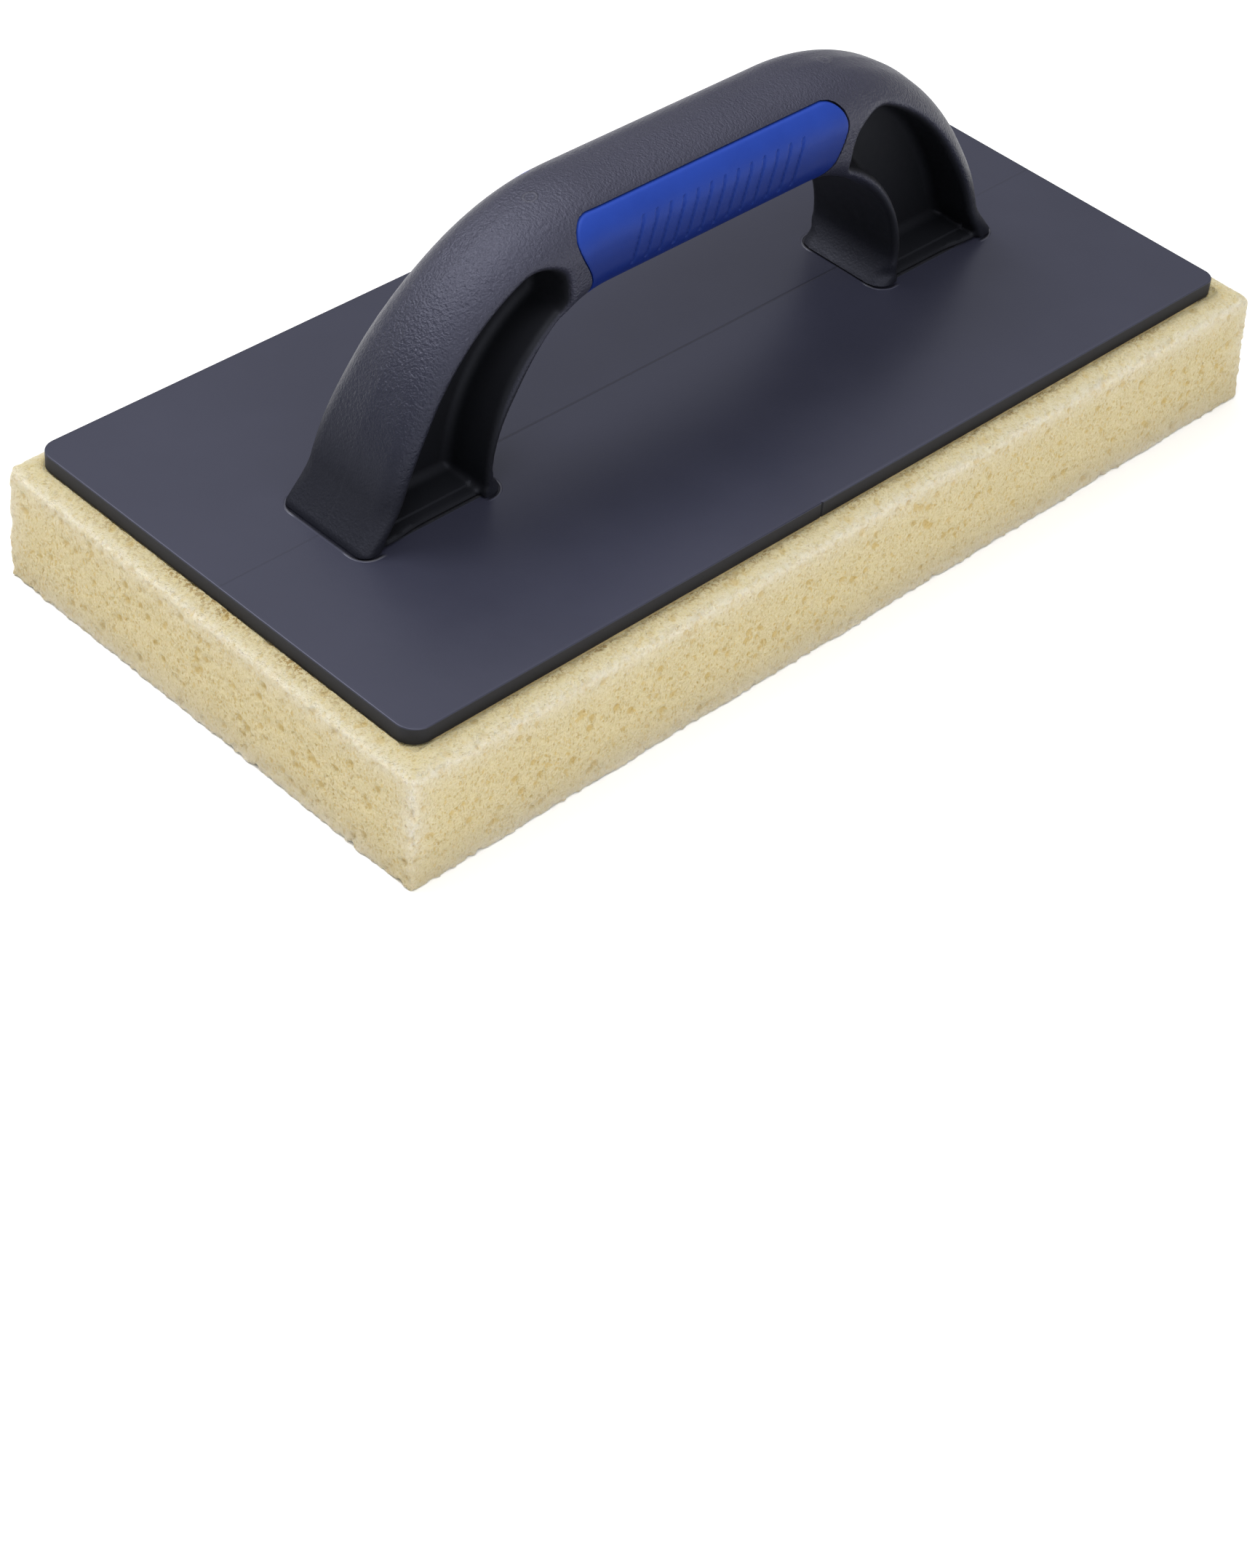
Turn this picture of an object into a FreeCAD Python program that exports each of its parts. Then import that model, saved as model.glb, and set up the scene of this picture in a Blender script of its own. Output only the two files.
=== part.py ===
import FreeCAD, Part

import math
import os

import Sketcher

# Sponge-faced washing float for grout, in millimetres.
# The origin is the centre of the sponge's working face. +X runs along the float, +Y across it and +Z
# from the working face up to the grip. The float is symmetric about the XZ plane.

# (alias, value, what it sizes)
DIMENSIONS = [
    ("sponge_length", 280.0, "sponge pad along X"),
    ("sponge_width", 140.0, "sponge pad along Y"),
    ("sponge_thickness", 31.5, "sponge pad along Z"),
    ("sponge_corner", 3.0, "radius of the pad's upright corners"),
    ("sponge_edge", 2.0, "rounding of the pad's long edges"),
    ("glue_thickness", 0.4, "adhesive between sponge and plate"),
    ("glue_margin", 2.0, "how far the adhesive stops inside the plate"),
    ("plate_length", 270.0, "backing plate along X"),
    ("plate_width", 130.0, "backing plate along Y"),
    ("plate_thickness", 4.5, "backing plate along Z"),
    ("plate_corner", 8.0, "radius of the plate's upright corners"),
    ("plate_edge", 1.0, "rounding of the plate's top edge"),
    ("bond_thickness", 0.3, "weld bead under each foot"),
    ("bond_margin", 1.5, "how far the bead stops inside the foot"),
    ("handle_width", 28.0, "handle along Y"),
    ("crown_height", 102.0, "top of the grip"),
    ("crown_reach", 78.0, "where the crown line meets the leg line"),
    ("shoulder_radius", 68.0, "bend from the crown into the leg"),
    ("flare_reach", 100.5, "outside of the leg where the foot flares"),
    ("flare_height", 50.0, "height at which the foot flares"),
    ("flare_radius", 20.0, "bend from the leg into the foot"),
    ("foot_reach", 105.0, "outer end of the foot"),
    ("foot_lip_height", 41.0, "top of the foot's upright end"),
    ("foot_lip_radius", 4.0, "rounding at the top of the foot's end"),
    ("foot_inner", 63.5, "inner end of the foot"),
    ("arch_reach", 67.0, "inside of the leg"),
    ("arch_lip_height", 42.0, "height at which the leg's inside flares"),
    ("arch_lip_radius", 4.0, "bend into the inner flare"),
    ("arch_radius", 33.0, "bend from the grip's underside into the leg"),
    ("grip_underside", 77.0, "underside of the grip"),
    ("outer_rounding", 6.0, "rounding of the handle's outer edges"),
    ("inner_rounding", 3.0, "rounding of the finger gap's edges"),
    ("web_thickness", 3.0, "web in the middle of each leg"),
    ("recess_floor", 40.0, "floor of the leg recess"),
    ("recess_floor_inner", 70.5, "inner end of the recess floor"),
    ("recess_floor_outer", 98.0, "outer end of the recess floor"),
    ("recess_knee_x", 69.0, "inside of the recess above its floor"),
    ("recess_knee_z", 52.0, "height of that point"),
    ("recess_bend_x", 60.0, "inside of the recess under the shoulder"),
    ("recess_bend_z", 72.0, "height of that point"),
    ("recess_nose_x", 47.0, "lowest point of the recess's top end"),
    ("recess_nose_z", 82.5, "height of that point"),
    ("recess_tip_x", 50.5, "inner corner of the recess's top end"),
    ("recess_tip_z", 90.5, "height of that point"),
    ("recess_top_x", 59.0, "outer corner of the recess's top end"),
    ("recess_top_z", 92.0, "height of that point"),
    ("recess_shoulder_x", 84.0, "outside of the recess under the shoulder"),
    ("recess_shoulder_z", 73.5, "height of that point"),
    ("recess_bend", 25.0, "radius of the recess's long bends"),
    ("recess_corner", 4.0, "radius of the recess's top corners"),
    ("recess_foot_corner", 2.0, "radius of the recess's bottom corners"),
    ("insert_thickness", 2.5, "wall of the soft grip insert"),
    ("insert_top", 98.8, "upper edge of the insert"),
    ("insert_left", 43.5, "insert end on the -X side, at its upper edge"),
    ("insert_left_foot", 39.5, "the same end at the underside"),
    ("insert_right", 42.5, "insert end on the +X side, at its upper edge"),
    ("insert_heel_x", 40.5, "lower corner of the insert's +X end"),
    ("insert_heel_z", 81.0, "height of that corner"),
    ("insert_right_foot", 31.0, "end of the insert's underside on the +X side"),
    ("insert_drop", 4.0, "how far the insert's cutter passes below the grip"),
    ("insert_left_corner", 4.0, "radius of the insert's -X upper corner"),
    ("insert_right_corner", 9.0, "radius of the insert's +X upper corner"),
    ("insert_heel_corner", 3.0, "radius of the insert's lower corner"),
    ("insert_gap", 0.2, "groove round the insert"),
]

SHEET = "dims"
# Heights that follow from the stack of layers, as expressions on the sheet.
PLATE_BASE = "(dims.sponge_thickness + dims.glue_thickness)"
PLATE_TOP = "(dims.sponge_thickness + dims.glue_thickness + dims.plate_thickness)"
HANDLE_BASE = (
    "(dims.sponge_thickness + dims.glue_thickness + dims.plate_thickness + dims.bond_thickness)"
)


def make_sheet(doc):
    """The driving dimensions: a note, a value and an alias on each row."""
    sheet = doc.addObject("Spreadsheet::Sheet", SHEET)
    for row, (alias, value, note) in enumerate(DIMENSIONS, start=1):
        sheet.set(f"A{row}", note)
        sheet.set(f"B{row}", str(value))
        sheet.setAlias(f"B{row}", alias)
    doc.recompute()
    return sheet


def value_of(sketch, expression):
    """The number that an expression on the sheet gives now."""
    return float(sketch.evalExpression(expression))


def bind(sketch, constraint, expression):
    """Adds a dimensional constraint and ties its value to the sheet."""
    index = sketch.addConstraint(constraint)
    sketch.setExpression(f"Constraints[{index}]", expression)


def fix_point(sketch, geometry, position, corner):
    """Holds a point at the corner's two coordinates."""
    x, y, _ = corner
    for kind, expression in (("DistanceX", x), ("DistanceY", y)):
        value = value_of(sketch, expression)
        constraint = Sketcher.Constraint(kind, -1, 1, geometry, position, value)
        bind(sketch, constraint, expression)


def corner_arc(corner, back, onward, radius):
    """Arc of a rounded corner between two directions, and whether it turns left."""
    half_angle = back.getAngle(onward) / 2
    centre = corner + (back + onward).normalize() * (radius / math.sin(half_angle))
    trim = radius / math.tan(half_angle)
    turns_left = back.cross(onward).z < 0
    first, last = corner + back * trim, corner + onward * trim
    if not turns_left:
        first, last = last, first
    start = math.atan2(first.y - centre.y, first.x - centre.x)
    end = math.atan2(last.y - centre.y, last.x - centre.x)
    if end < start:
        end += 2 * math.pi
    circle = Part.Circle(centre, FreeCAD.Vector(0, 0, 1), radius)
    return Part.ArcOfCircle(circle, start, end), trim, turns_left


def draw_outline(sketch, corners):
    """Draws a closed outline through corners (x, y, radius), each an expression; radius None is sharp."""
    count = len(corners)
    points = [FreeCAD.Vector(value_of(sketch, x), value_of(sketch, y), 0) for x, y, _ in corners]
    arcs = []
    for i, (_, _, rounding) in enumerate(corners):
        if rounding is None:
            arcs.append((None, 0.0, True))
            continue
        back = (points[i - 1] - points[i]).normalize()
        onward = (points[(i + 1) % count] - points[i]).normalize()
        arcs.append(corner_arc(points[i], back, onward, value_of(sketch, rounding)))
    lines = []
    for i in range(count):
        following = (i + 1) % count
        along = (points[following] - points[i]).normalize()
        start = points[i] + along * arcs[i][1]
        end = points[following] - along * arcs[following][1]
        lines.append(sketch.addGeometry(Part.LineSegment(start, end)))
    for i, (arc, _, turns_left) in enumerate(arcs):
        before, after = lines[i - 1], lines[i]
        if arc is None:
            sketch.addConstraint(Sketcher.Constraint("Coincident", before, 2, after, 1))
            fix_point(sketch, after, 1, corners[i])
        else:
            join_with_arc(sketch, arc, turns_left, before, after, points[i], corners[i])


def join_with_arc(sketch, arc, turns_left, before, after, point, corner):
    """Rounds the corner between two lines and holds the sharp corner that they point at."""
    arc_index = sketch.addGeometry(arc)
    arc_in, arc_out = (1, 2) if turns_left else (2, 1)
    sketch.addConstraint(Sketcher.Constraint("Tangent", before, 2, arc_index, arc_in))
    sketch.addConstraint(Sketcher.Constraint("Tangent", arc_index, arc_out, after, 1))
    bind(sketch, Sketcher.Constraint("Radius", arc_index, arc.Radius), corner[2])
    mark = sketch.addGeometry(Part.Point(point), True)
    sketch.addConstraint(Sketcher.Constraint("PointOnObject", mark, 1, before))
    sketch.addConstraint(Sketcher.Constraint("PointOnObject", mark, 1, after))
    fix_point(sketch, mark, 1, corner)


def plane_sketch(body, name, role, height=None):
    """A sketch on one of the body's own origin planes, lifted along the plane's normal if asked."""
    plane = next(feature for feature in body.Origin.OriginFeatures if feature.Role == role)
    sketch = body.newObject("Sketcher::SketchObject", name)
    sketch.AttachmentSupport = [(plane, "")]
    sketch.MapMode = "FlatFace"
    if height is not None:
        sketch.setExpression("AttachmentOffset.Base.z", height)
    return sketch


def pad(body, name, sketch, length, symmetric=False):
    """Pads a sketch by a length from the sheet."""
    feature = body.newObject("PartDesign::Pad", name)
    feature.Profile = sketch
    feature.setExpression("Length", length)
    if symmetric:
        feature.SideType = "Symmetric"
    sketch.Visibility = False
    body.Document.recompute()
    return feature


def fillet(body, name, base, edges, radius):
    """Rounds the named edges of a feature."""
    feature = body.newObject("PartDesign::Fillet", name)
    feature.Base = (base, edges)
    feature.setExpression("Radius", radius)
    body.Document.recompute()
    return feature


def edges_where(shape, test):
    """Names of the edges for which test(edge) holds."""
    return [f"Edge{i}" for i, edge in enumerate(shape.Edges, start=1) if test(edge)]


def level_edges(shape, heights):
    """Edges that lie wholly at one of the heights."""

    def lies_level(edge):
        box = edge.BoundBox
        return box.ZLength < 1e-4 and any(abs(box.ZMin - z) < 1e-4 for z in heights)

    return edges_where(shape, lies_level)


def rectangle(half_length, half_width, rounding):
    """Corners of a rectangle about the origin, anticlockwise."""
    signs = ((-1, -1), (1, -1), (1, 1), (-1, 1))
    return [(f"{sx} * {half_length}", f"{sy} * {half_width}", rounding) for sx, sy in signs]


def make_sponge(doc, sheet):
    """Foam pad: a rounded block whose underside is the working face."""
    body = doc.addObject("PartDesign::Body", "sponge_pad")
    sketch = plane_sketch(body, "sponge_outline", "XY_Plane")
    corners = rectangle("dims.sponge_length / 2", "dims.sponge_width / 2", "dims.sponge_corner")
    draw_outline(sketch, corners)
    block = pad(body, "sponge_block", sketch, "dims.sponge_thickness")
    edges = level_edges(block.Shape, (0.0, sheet.sponge_thickness))
    fillet(body, "sponge_rounding", block, edges, "dims.sponge_edge")
    return body


def make_glue(doc):
    """Adhesive film that holds the sponge to the plate."""
    body = doc.addObject("PartDesign::Body", "sponge_adhesive")
    sketch = plane_sketch(body, "adhesive_outline", "XY_Plane", "dims.sponge_thickness")
    half_length = "(dims.plate_length / 2 - dims.glue_margin)"
    half_width = "(dims.plate_width / 2 - dims.glue_margin)"
    corners = rectangle(half_length, half_width, "dims.plate_corner - dims.glue_margin")
    draw_outline(sketch, corners)
    pad(body, "adhesive_film", sketch, "dims.glue_thickness")
    return body


def make_plate(doc):
    """Backing plate with rounded corners and a softened top edge."""
    body = doc.addObject("PartDesign::Body", "backing_plate")
    sketch = plane_sketch(body, "plate_outline", "XY_Plane", PLATE_BASE)
    corners = rectangle("dims.plate_length / 2", "dims.plate_width / 2", "dims.plate_corner")
    draw_outline(sketch, corners)
    slab = pad(body, "plate_slab", sketch, "dims.plate_thickness")
    top = slab.Shape.BoundBox.ZMax
    fillet(body, "plate_top_rounding", slab, level_edges(slab.Shape, (top,)), "dims.plate_edge")
    return body


def make_foot_bond(doc, name, side):
    """Weld bead between the plate and the foot on one side of the float."""
    body = doc.addObject("PartDesign::Body", name)
    sketch = plane_sketch(body, f"{name}_outline", "XY_Plane", PLATE_TOP)
    near = f"{side} * (dims.foot_inner + dims.bond_margin)"
    far = f"{side} * (dims.foot_reach - dims.bond_margin)"
    half_width = "(dims.handle_width / 2 - dims.bond_margin)"
    rounding = "dims.outer_rounding - dims.bond_margin"
    corners = [
        (near, f"-1 * {half_width}", rounding),
        (far, f"-1 * {half_width}", rounding),
        (far, half_width, rounding),
        (near, half_width, rounding),
    ]
    draw_outline(sketch, corners)
    pad(body, f"{name}_film", sketch, "dims.bond_thickness")
    return body


def handle_corners():
    """Side view of the handle: right half from the crown down to the arch, then its mirror image."""
    outer = [
        ("dims.crown_reach", "dims.crown_height", "dims.shoulder_radius"),
        ("dims.flare_reach", "dims.flare_height", "dims.flare_radius"),
        ("dims.foot_reach", "dims.foot_lip_height", "dims.foot_lip_radius"),
        ("dims.foot_reach", HANDLE_BASE, None),
    ]
    inner = [
        ("dims.foot_inner", HANDLE_BASE, None),
        ("dims.arch_reach", "dims.arch_lip_height", "dims.arch_lip_radius"),
        ("dims.arch_reach", "dims.grip_underside", "dims.arch_radius"),
    ]
    right = outer + inner
    left = [(f"-1 * {x}", z, rounding) for x, z, rounding in reversed(right)]
    return right + left


def recess_corners(side):
    """Side view of the recess in one leg."""
    corners = [
        ("recess_floor_inner", "recess_floor", "recess_foot_corner"),
        ("recess_floor_outer", "recess_floor", "recess_foot_corner"),
        ("recess_shoulder_x", "recess_shoulder_z", "recess_bend"),
        ("recess_top_x", "recess_top_z", "recess_corner"),
        ("recess_tip_x", "recess_tip_z", "recess_corner"),
        ("recess_nose_x", "recess_nose_z", "recess_corner"),
        ("recess_bend_x", "recess_bend_z", "recess_bend"),
        ("recess_knee_x", "recess_knee_z", "recess_bend"),
    ]
    return [(f"{side} * dims.{x}", f"dims.{z}", f"dims.{rounding}") for x, z, rounding in corners]


def side_edges(shape, sheet):
    """The handle's long edges on its two side faces: those round the finger gap, and the outer ones."""
    base = shape.BoundBox.ZMin

    def on_side_face(edge):
        box = edge.BoundBox
        return box.YLength < 1e-4 and box.ZMax > base + 1e-4

    def round_the_gap(edge):
        box = edge.BoundBox
        reach = max(abs(box.XMin), abs(box.XMax))
        return reach < sheet.arch_reach + 1e-4 and box.ZMax < sheet.grip_underside + 1e-4

    inner = edges_where(shape, lambda edge: on_side_face(edge) and round_the_gap(edge))
    outer = edges_where(shape, lambda edge: on_side_face(edge) and not round_the_gap(edge))
    return inner, outer


def make_handle_blank(doc, sheet):
    """D-shaped handle without the recess for its insert: a bar on two hollowed legs."""
    body = doc.addObject("PartDesign::Body", "handle_blank")
    profile = plane_sketch(body, "handle_profile", "XZ_Plane")
    draw_outline(profile, handle_corners())
    bar = pad(body, "handle_bar", profile, "dims.handle_width", symmetric=True)
    inner, outer = side_edges(bar.Shape, sheet)
    rounded = fillet(body, "outer_rounding", bar, outer, "dims.outer_rounding")
    inner, outer = side_edges(rounded.Shape, sheet)
    rounded = fillet(body, "inner_rounding", rounded, inner, "dims.inner_rounding")
    recess = plane_sketch(body, "recess_outline", "XZ_Plane")
    web = plane_sketch(body, "web_outline", "XZ_Plane")
    for side in (1, -1):
        draw_outline(recess, recess_corners(side))
        draw_outline(web, recess_corners(side))
    pocket = body.newObject("PartDesign::Pocket", "leg_recesses")
    pocket.Profile = recess
    pocket.Type = "ThroughAll"
    pocket.SideType = "Symmetric"
    doc.recompute()
    check_smaller(pocket, rounded)
    pad(body, "leg_webs", web, "dims.web_thickness", symmetric=True)
    return body


def check_smaller(cut, before):
    """A cut that points away from the solid removes nothing, so its volume is compared."""
    if not cut.Shape.Volume < before.Shape.Volume - 1.0:
        raise RuntimeError(f"{cut.Name} removes nothing")


def insert_corners(gap):
    """Side view of the soft insert, drawn in by a gap on each free side."""
    below = "(dims.grip_underside - dims.insert_drop)"
    return [
        (f"-1 * (dims.insert_left - {gap})", f"(dims.insert_top - {gap})", "dims.insert_left_corner"),
        (f"-1 * (dims.insert_left_foot - {gap})", below, None),
        (f"(dims.insert_right_foot - {gap})", below, None),
        (f"(dims.insert_heel_x - {gap})", f"(dims.insert_heel_z + {gap})", "dims.insert_heel_corner"),
        (f"(dims.insert_right - {gap})", f"(dims.insert_top - {gap})", "dims.insert_right_corner"),
    ]


def make_insert_zone(doc, name, gap):
    """U-shaped channel round the grip: everything in the outline that lies outside the grip's core."""
    body = doc.addObject("PartDesign::Body", name)
    outline = plane_sketch(body, f"{name}_outline", "XZ_Plane")
    draw_outline(outline, insert_corners(gap))
    block = pad(body, f"{name}_block", outline, "dims.handle_width + 2 * dims.insert_drop", symmetric=True)
    core = plane_sketch(body, f"{name}_core", "YZ_Plane")
    half_core = "(dims.handle_width / 2 - dims.insert_thickness)"
    bottom = "(dims.grip_underside + dims.insert_thickness)"
    top = "(dims.crown_height + dims.insert_drop)"
    corners = [
        (f"-1 * {half_core}", bottom, "dims.inner_rounding"),
        (half_core, bottom, "dims.inner_rounding"),
        (half_core, top, None),
        (f"-1 * {half_core}", top, None),
    ]
    draw_outline(core, corners)
    channel = body.newObject("PartDesign::Pocket", f"{name}_channel")
    channel.Profile = core
    channel.Type = "ThroughAll"
    channel.SideType = "Symmetric"
    doc.recompute()
    check_smaller(channel, block)
    return body


def boolean(doc, kind, name, base, tool):
    """A Part boolean of two objects."""
    result = doc.addObject(kind, name)
    result.Base = base
    result.Tool = tool
    doc.recompute()
    return result


def make_grip(doc, sheet):
    """Hard handle and the soft insert set flush into its sides and underside."""
    blank = make_handle_blank(doc, sheet)
    seat = make_insert_zone(doc, "insert_seat", "0")
    filling = make_insert_zone(doc, "insert_filling", "dims.insert_gap")
    handle = boolean(doc, "Part::Cut", "handle", blank, seat)
    insert = boolean(doc, "Part::Common", "grip_insert", blank, filling)
    return [handle, insert]


def check_document(doc, parts):
    """Stops if any feature failed, or if a part isn't one valid solid."""
    failed = [obj.Name for obj in doc.Objects if {"Invalid", "Error"} & set(obj.State)]
    if failed:
        raise RuntimeError(f"features that failed: {failed}")
    for part in parts:
        shape = part.Shape
        if shape.isNull() or not shape.isValid() or len(shape.Solids) != 1:
            raise RuntimeError(f"{part.Label} isn't one valid solid")


def export_parts(parts):
    """Writes each part to a STEP file named after it."""
    os.makedirs("parts", exist_ok=True)
    for part in parts:
        part.Shape.exportStep(f"parts/{part.Label}.step")
        box = part.Shape.BoundBox
        size = f"{box.XLength:.1f} x {box.YLength:.1f} x {box.ZLength:.1f}"
        print(f"{part.Label}: {size} mm, z {box.ZMin:.2f} to {box.ZMax:.2f}, {part.Shape.Volume:.0f} mm3")


def main():
    doc = FreeCAD.newDocument("washing_float")
    sheet = make_sheet(doc)
    parts = [make_sponge(doc, sheet), make_glue(doc), make_plate(doc)]
    parts += [make_foot_bond(doc, "left_foot_bond", -1), make_foot_bond(doc, "right_foot_bond", 1)]
    parts += make_grip(doc, sheet)
    doc.recompute()
    check_document(doc, parts)
    export_parts(parts)


main()
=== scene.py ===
import math

import bpy
import numpy as np
from mathutils import Matrix, Vector, kdtree


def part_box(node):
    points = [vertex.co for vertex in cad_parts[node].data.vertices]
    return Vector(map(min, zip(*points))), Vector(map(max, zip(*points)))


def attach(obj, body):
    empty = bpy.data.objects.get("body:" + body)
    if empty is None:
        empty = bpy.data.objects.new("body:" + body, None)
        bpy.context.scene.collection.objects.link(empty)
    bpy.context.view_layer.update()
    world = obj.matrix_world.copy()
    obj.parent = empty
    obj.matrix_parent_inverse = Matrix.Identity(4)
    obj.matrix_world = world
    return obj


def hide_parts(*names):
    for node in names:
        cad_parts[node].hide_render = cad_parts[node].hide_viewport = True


# Sponge washing float for grout. The solids of the frame give each piece's place. Shapes are worked out
# here in millimetres, in the frame's own axes: X along the float, Y across it and Z up from the sponge's
# working face. Shapes given by a distance are negative inside and positive outside.

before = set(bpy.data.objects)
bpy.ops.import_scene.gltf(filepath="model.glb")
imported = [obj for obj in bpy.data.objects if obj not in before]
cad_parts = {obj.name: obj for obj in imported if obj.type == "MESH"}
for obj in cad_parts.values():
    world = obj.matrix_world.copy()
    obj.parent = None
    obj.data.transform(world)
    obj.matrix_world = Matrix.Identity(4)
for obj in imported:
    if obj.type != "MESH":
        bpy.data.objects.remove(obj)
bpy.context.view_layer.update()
MM = 0.001


def box_mm(node):
    """Lowest and highest corner of a CAD node, in millimetres."""
    low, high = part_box(node)
    return np.array(low) / MM, np.array(high) / MM


HANDLE_LOW, HANDLE_HIGH = box_mm("handle")
PLATE_LOW, PLATE_HIGH = box_mm("backing_plate")
SPONGE_LOW, SPONGE_HIGH = box_mm("sponge_pad")
INSERT_LOW, INSERT_HIGH = box_mm("grip_insert")


# ---------------------------------------------------------------- distances

def cut(a, b, radius):
    """Where both solids are, given as distances (negative inside), with the edge between them rounded."""
    inner = np.minimum(-radius, np.maximum(a, b))
    return inner + np.hypot(np.maximum(a + radius, 0), np.maximum(b + radius, 0))


def join(a, b, radius):
    """Where either solid is, with the corner between them filleted."""
    return -cut(-a, -b, radius)


def ramp(value, start, end):
    """0 before start, 1 after end, smooth between."""
    t = np.clip((value - start) / (end - start), 0, 1)
    return t * t * (3 - 2 * t)


# ---------------------------------------------------------------- handle

CROWN_Z = HANDLE_HIGH[2]
BASE_Z = HANDLE_LOW[2]
FOOT_X = HANDLE_HIGH[0] + 0.4          # the foot's outer end
HALF_WIDTH = HANDLE_HIGH[1]
SHOULDER_RADIUS = 66.6
SHOULDER_X = 33.3                      # where the crown line turns into the shoulder
LEG_LEAN = math.radians(16.5)          # the leg's outside, from upright
ARCH_X, ARCH_Z, ARCH_RADIUS = 32.0, 42.0, 34.7
# Height, reach and curve of the foot's flare, outside the leg and inside it.
OUTER_FLARE = (10.5, 3.4, 1.5)
INNER_FLARE = (7.5, 4.4, 1.7)
FOOT_EDGE = 0.7                        # rounding of the foot's outer end
# How the crown drops to its sides: as a curve, and from a soft ridge of this width.
CURVE_DROP, RIDGE_DROP, RIDGE_WIDTH = 0.003, 0.100, 0.6
# Rounding of the outer edges at the foot, what the leg adds to it and what the crown adds.
OUTER_EDGE = (2.8, 1.7, 5.3)
# Rounding of the finger gap's edges on the leg, what the grip's underside adds and what the foot adds.
INNER_EDGE = (1.3, 6.3, 3.2)
WEB = 1.4                              # half the thickness of the web in each leg
# Thickness of the walls on both sides of the recess low on the leg, and what they gain higher up.
OUTER_WALL, INNER_WALL = (5.2, 1.8), (2.1, 1.2)
RECESS_END_X = 45.4                    # where the recess ends under the crown
RECESS_END_RADIUS, RECESS_RADIUS = 14.0, 2.5
RECESS_FLOOR, RECESS_FILLET = BASE_Z + 1.8, 2.2
RECESS_DRAFT = 0.07
RECESS_MOUTH = (1.0, 1.7)              # rounding of its mouth low on the leg, and what it gains higher up
FLOOR_SETBACK = 12.3                   # how far out the foot's floor comes between its two lips
LEDGE_Y, LEDGE_DROP = 9.3, 0.45        # the step in the foot's floor
INSERT_TOP, INSERT_DEPTH = INSERT_HIGH[2], 2.4
INSERT_LEFT, INSERT_RIGHT = -44.3, 42.8
INSERT_LEAN = 4.6                      # how far in its left end leans towards its lower edge
HEEL_X, HEEL_Z = 41.0, 82.8            # a point on the slanted edge at its lower right
HEEL_COS, HEEL_SIN = 0.63, 0.777       # the way that edge faces
INSERT_GAP = 0.32                      # shadow gap round the insert
INSERT_CLEARANCE = 0.03                # between the insert's back and its seat
HANDLE_CELL, INSERT_CELL = 0.62, 0.36  # size of the cells that the two surfaces are drawn with


def foot_flare(z, height, reach, power):
    """How far the foot flares out at height z."""
    return reach * np.clip(1 - (z - BASE_Z) / height, 0, 1) ** power


def outer_profile(x, z):
    """Distance outside the crown, shoulder, leg and foot, in side view."""
    lean_x, lean_z = math.cos(LEG_LEAN), math.sin(LEG_LEAN)
    centre_z = CROWN_Z - SHOULDER_RADIUS
    dx, dz = x - SHOULDER_X, z - centre_z
    leg = dx * lean_x + dz * lean_z - SHOULDER_RADIUS
    shoulder = np.hypot(dx, dz) - SHOULDER_RADIUS
    above_leg = dz * lean_x - dx * lean_z > 0
    profile = np.where(dx <= 0, z - CROWN_Z, np.where(above_leg, shoulder, leg))
    return cut(profile - foot_flare(z, *OUTER_FLARE), x - FOOT_X, FOOT_EDGE)


def arch_profile(x, z):
    """Distance into the finger gap from the grip's underside and the leg's inside, in side view."""
    dx, dz = x - ARCH_X, z - ARCH_Z
    bend = ARCH_RADIUS - np.hypot(dx, dz)
    return np.where(dx <= 0, ARCH_RADIUS - dz, np.where(dz <= 0, ARCH_RADIUS - dx, bend))


def arch_angle(x, z):
    """0 at the leg, 90 at the grip's underside, in degrees round the arch."""
    return np.degrees(np.arctan2(z - ARCH_Z, np.maximum(x - ARCH_X, 1e-3)))


def handle_blank(p):
    """The handle with neither recesses nor the insert's seat."""
    x, y, z = np.abs(p[:, 0]), np.abs(p[:, 1]), p[:, 2]
    sides = y - HALF_WIDTH
    roof = CURVE_DROP * y * y + RIDGE_DROP * (np.hypot(y, RIDGE_WIDTH) - RIDGE_WIDTH)
    crowning = roof * ramp(z, BASE_Z + 10, BASE_Z + 32)
    foot, leg, crown = OUTER_EDGE
    edge = foot + leg * ramp(z, BASE_Z, BASE_Z + 9) + crown * ramp(z, BASE_Z + 16, CROWN_Z - 12)
    outer = cut(outer_profile(x, z) + crowning, sides, edge)
    inside = arch_profile(x, z) - foot_flare(z, *INNER_FLARE)
    leg, grip, foot = INNER_EDGE
    edge = leg + grip * ramp(arch_angle(x, z), 30, 82) + foot * ramp(z, BASE_Z + 6, BASE_Z + 2)
    inner = cut(inside, sides, edge)
    return cut(np.maximum(outer, inner), BASE_Z - z, 0.3)


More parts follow.
